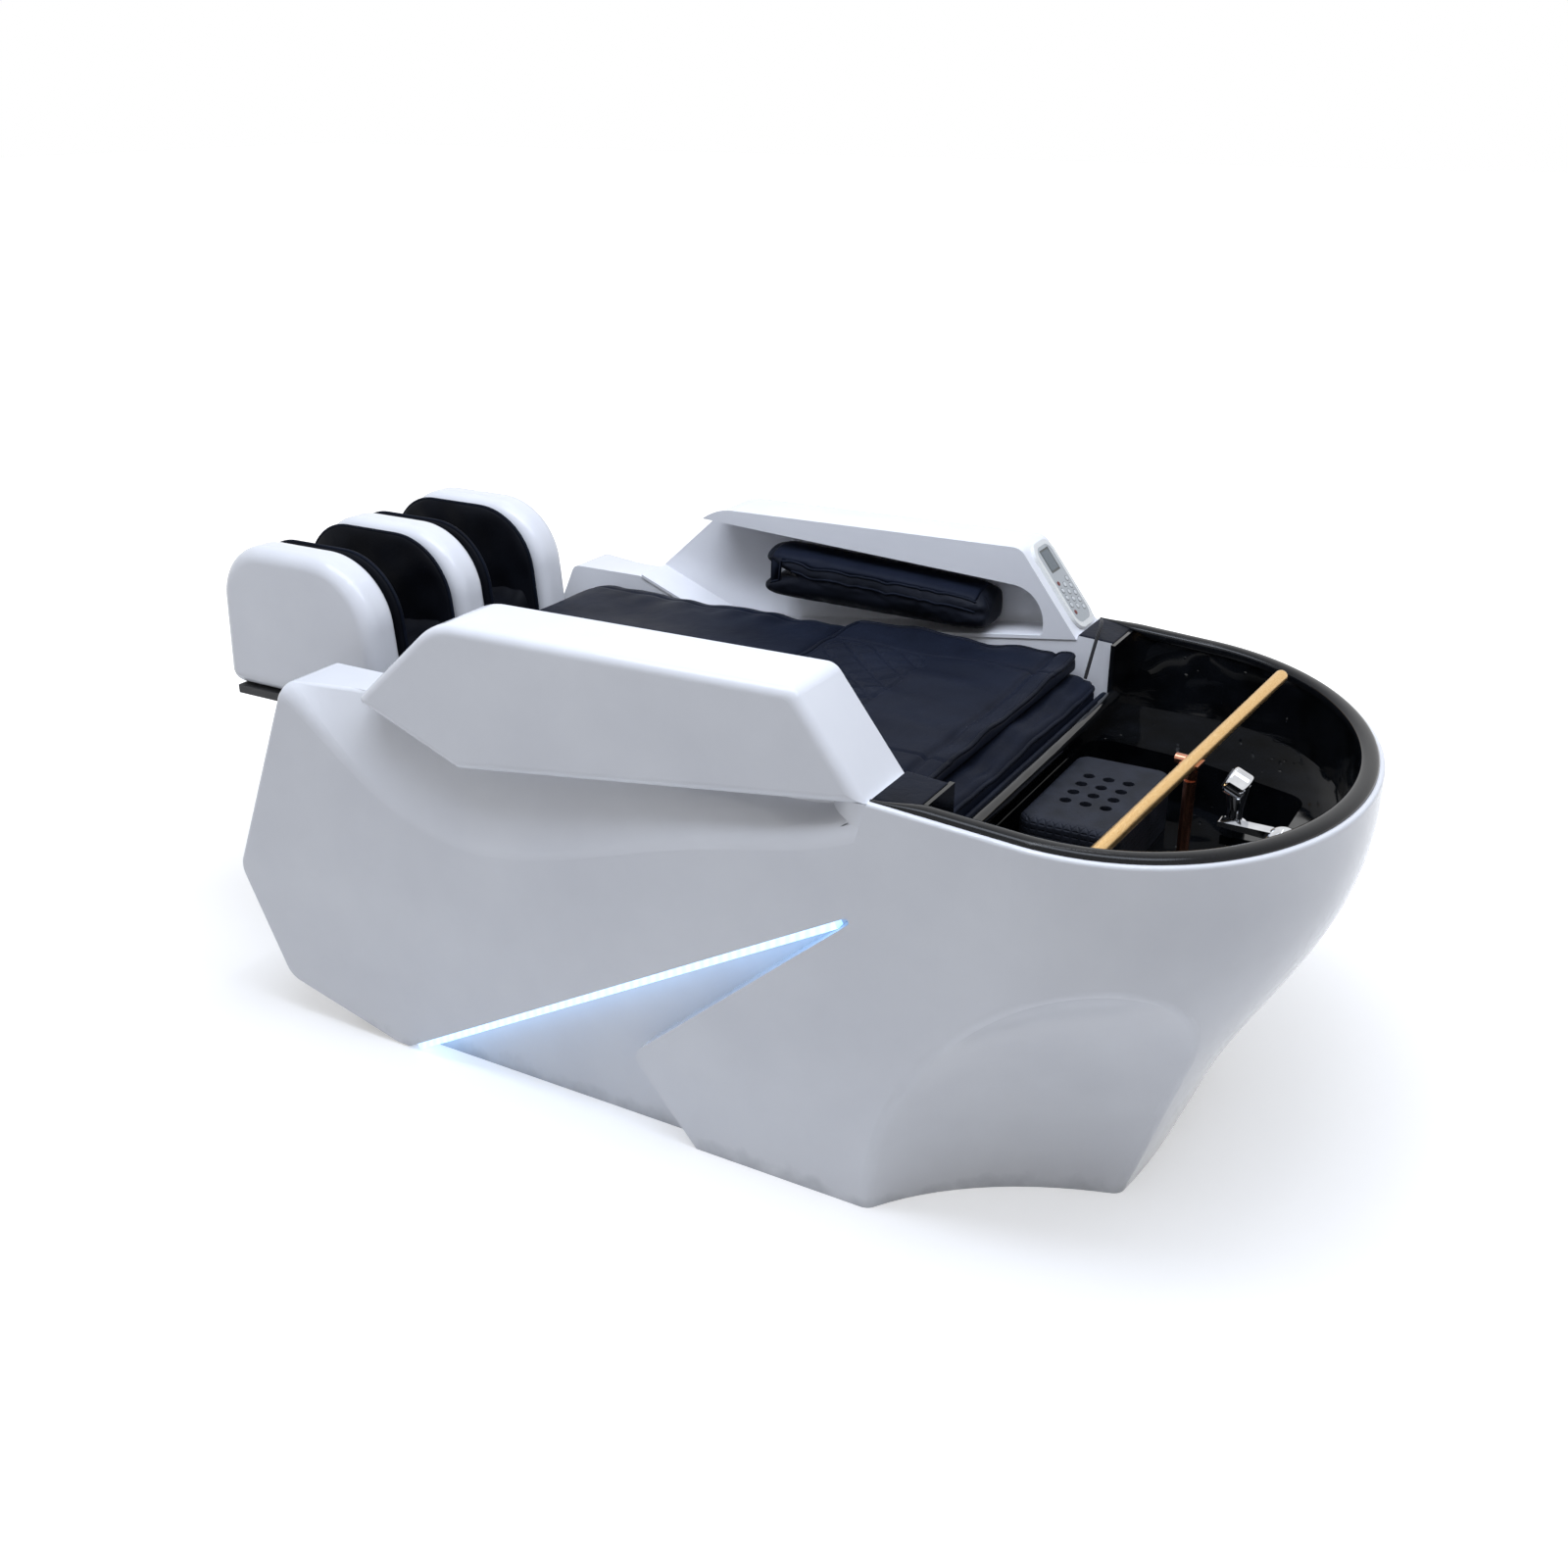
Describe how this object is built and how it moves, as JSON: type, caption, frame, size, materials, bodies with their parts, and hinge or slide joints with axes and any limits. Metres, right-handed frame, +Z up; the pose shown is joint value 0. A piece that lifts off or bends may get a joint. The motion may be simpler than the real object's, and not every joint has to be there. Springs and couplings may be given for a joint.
{
  "type": "head spa unit",
  "caption": "Lying head spa wash bed: white hull with lit flank recesses, black wash basin with spray bar and mixer, cushioned seat, arm air sleeves, leg massager and kneading drive.",
  "frame": {"origin": "on the floor under the middle of the bounding box", "axes": "+X to the basin (head) end, +Y to the user's right, +Z up"},
  "size_m": [1.9089, 0.9, 0.7832],
  "materials": {
    "gelcoat": "polished white gelcoat on glass fibre",
    "basin_black": "gloss black moulded acrylic",
    "trim_black": "satin black extruded trim",
    "headrest_foam": "embossed black moulded rubber",
    "leather": "navy-black upholstery leather with sewn seams",
    "airbag_cloth": "soft black coated cloth",
    "strap_web": "woven black webbing",
    "gold": "satin champagne gold",
    "copper": "polished rose copper",
    "chrome": "bright chrome plate",
    "hose_black": "ribbed black hose",
    "diffuser": "lit white diffuser, emissive",
    "frame_steel": "black powder coat",
    "steel": "ground steel",
    "nylon": "moulded nylon",
    "roller_rubber": "moulded rubber roller",
    "case_plastic": "moulded case",
    "pvc": "grey waste pipe",
    "tray_black": "textured black base",
    "bezel_white": "white moulded bezel",
    "overlay_grey": "grey membrane overlay",
    "screen": "dark display window",
    "key_grey": "moulded key",
    "key_red": "moulded red key"
  },
  "bodies": {
    "chassis": {"air_pump": "case_plastic", "back_cushion": "leather", "back_pad": "leather", "base_frame": "frame_steel", "basin_rim_trim": "trim_black", "control_box": "case_plastic", "drain_strainer": "chrome", "drain_trap": "pvc", "handset_holder": "chrome", "keypad_bezel": "bezel_white", "keypad_overlay": "overlay_grey", "keypad_screen": "screen", "left_arm_airbags": "airbag_cloth", "left_armrest_shell": "gelcoat", "leg_hinge_brackets": "steel", "leg_hinge_pin": "steel", "levelling_feet": "nylon", "light_strips": "diffuser", "mixer_base": "chrome", "outer_hull": "gelcoat", "pad_strap": "strap_web", "right_arm_airbags": "airbag_cloth", "right_armrest_shell": "gelcoat", "seat_cushion": "leather", "shower_hose": "hose_black", "spray_bar_stem": "nylon", "supply_tails": "copper", "wash_basin": "basin_black", "water_heater": "steel"},
    "leg_rest": {"leg_tray": "tray_black", "left_leg_fin": "gelcoat", "middle_leg_fin": "gelcoat", "right_leg_fin": "gelcoat", "left_calf_liner": "leather", "right_calf_liner": "leather"},
    "carriage": {"massage_carriage": "nylon"},
    "kneader": {"kneading_shaft": "steel", "kneading_rollers": "roller_rubber"},
    "screw": {"lead_screw": "steel"},
    "mixer_cartridge": {"mixer_stem": "steel"},
    "mixer_handle": {"mixer_lever": "chrome"},
    "handset": {"shower_handset": "chrome", "handset_spray_face": "nylon"},
    "spray_arm": {"spray_bar": "gold", "spray_bar_union": "copper"},
    "headrest": {"headrest_block": "headrest_foam"},
    "key_01": {"keypad_button_01": "key_red"},
    "key_02": {"keypad_button_02": "key_grey"},
    "key_03": {"keypad_button_03": "key_grey"},
    "key_04": {"keypad_button_04": "key_grey"},
    "key_05": {"keypad_button_05": "key_red"},
    "key_06": {"keypad_button_06": "key_grey"},
    "key_07": {"keypad_button_07": "key_grey"},
    "key_08": {"keypad_button_08": "key_grey"},
    "key_09": {"keypad_button_09": "key_grey"},
    "key_10": {"keypad_button_10": "key_grey"},
    "key_11": {"keypad_button_11": "key_grey"},
    "key_12": {"keypad_button_12": "key_grey"},
    "key_13": {"keypad_button_13": "key_grey"},
    "key_14": {"keypad_button_14": "key_grey"}
  },
  "joints": [
    {"name": "leg_rest_tilt", "type": "hinge", "parent": "chassis", "child": "leg_rest", "pos_m": [-0.608, 0, 0.476], "axis": [0, 1, 0], "range_deg": [-20, 6]},
    {"name": "carriage_travel", "type": "slide", "parent": "chassis", "child": "carriage", "axis": [1, 0, 0], "range_m": [-0.24, 0.24]},
    {"name": "screw_spin", "type": "hinge", "parent": "chassis", "child": "screw", "pos_m": [0, 0, 0.38], "axis": [1, 0, 0], "range_deg": [-3600, 3600]},
    {"name": "kneader_spin", "type": "hinge", "parent": "carriage", "child": "kneader", "pos_m": [0.025, 0, 0.452], "axis": [0, 1, 0], "continuous": true},
    {"name": "mixer_turn", "type": "hinge", "parent": "chassis", "child": "mixer_cartridge", "pos_m": [0.866, -0.145, 0.571], "axis": [0, 0, 1], "range_deg": [-35, 20]},
    {"name": "mixer_lift", "type": "hinge", "parent": "mixer_cartridge", "child": "mixer_handle", "pos_m": [0.866, -0.145, 0.571], "axis": [0, 1, 0], "range_deg": [0, 20]},
    {"name": "handset_lift", "type": "slide", "parent": "chassis", "child": "handset", "axis": [0, 0, 1], "range_m": [0, 0.12]},
    {"name": "spray_bar_turn", "type": "hinge", "parent": "chassis", "child": "spray_arm", "pos_m": [0.699, 0, 0.603], "axis": [-0.0117, -0.0951, 0.9954], "range_deg": [-9, 15]},
    {"name": "headrest_lift", "type": "slide", "parent": "chassis", "child": "headrest", "axis": [0, 0, 1], "range_m": [0, 0.12]},
    {"name": "key_01_press", "type": "slide", "parent": "chassis", "child": "key_01", "axis": [-0.7959, 0, -0.6054], "range_m": [0, 0.0008], "stiffness_N_per_m": 400, "springref_m": -0.0006},
    {"name": "key_02_press", "type": "slide", "parent": "chassis", "child": "key_02", "axis": [-0.7959, 0, -0.6054], "range_m": [0, 0.0008], "stiffness_N_per_m": 400, "springref_m": -0.0006},
    {"name": "key_03_press", "type": "slide", "parent": "chassis", "child": "key_03", "axis": [-0.7959, 0, -0.6054], "range_m": [0, 0.0008], "stiffness_N_per_m": 400, "springref_m": -0.0006},
    {"name": "key_04_press", "type": "slide", "parent": "chassis", "child": "key_04", "axis": [-0.7959, 0, -0.6054], "range_m": [0, 0.0008], "stiffness_N_per_m": 400, "springref_m": -0.0006},
    {"name": "key_05_press", "type": "slide", "parent": "chassis", "child": "key_05", "axis": [-0.7959, 0, -0.6054], "range_m": [0, 0.0008], "stiffness_N_per_m": 400, "springref_m": -0.0006},
    {"name": "key_06_press", "type": "slide", "parent": "chassis", "child": "key_06", "axis": [-0.7959, 0, -0.6054], "range_m": [0, 0.0008], "stiffness_N_per_m": 400, "springref_m": -0.0006},
    {"name": "key_07_press", "type": "slide", "parent": "chassis", "child": "key_07", "axis": [-0.7959, 0, -0.6054], "range_m": [0, 0.0008], "stiffness_N_per_m": 400, "springref_m": -0.0006},
    {"name": "key_08_press", "type": "slide", "parent": "chassis", "child": "key_08", "axis": [-0.7959, 0, -0.6054], "range_m": [0, 0.0008], "stiffness_N_per_m": 400, "springref_m": -0.0006},
    {"name": "key_09_press", "type": "slide", "parent": "chassis", "child": "key_09", "axis": [-0.7959, 0, -0.6054], "range_m": [0, 0.0008], "stiffness_N_per_m": 400, "springref_m": -0.0006},
    {"name": "key_10_press", "type": "slide", "parent": "chassis", "child": "key_10", "axis": [-0.7959, 0, -0.6054], "range_m": [0, 0.0008], "stiffness_N_per_m": 400, "springref_m": -0.0006},
    {"name": "key_11_press", "type": "slide", "parent": "chassis", "child": "key_11", "axis": [-0.7959, 0, -0.6054], "range_m": [0, 0.0008], "stiffness_N_per_m": 400, "springref_m": -0.0006},
    {"name": "key_12_press", "type": "slide", "parent": "chassis", "child": "key_12", "axis": [-0.7959, 0, -0.6054], "range_m": [0, 0.0008], "stiffness_N_per_m": 400, "springref_m": -0.0006},
    {"name": "key_13_press", "type": "slide", "parent": "chassis", "child": "key_13", "axis": [-0.7959, 0, -0.6054], "range_m": [0, 0.0008], "stiffness_N_per_m": 400, "springref_m": -0.0006},
    {"name": "key_14_press", "type": "slide", "parent": "chassis", "child": "key_14", "axis": [-0.7959, 0, -0.6054], "range_m": [0, 0.0008], "stiffness_N_per_m": 400, "springref_m": -0.0006}
  ],
  "couplings": [
    {"joint": "screw_spin", "follows": "carriage_travel", "rad_per_m": 251.33}
  ]
}
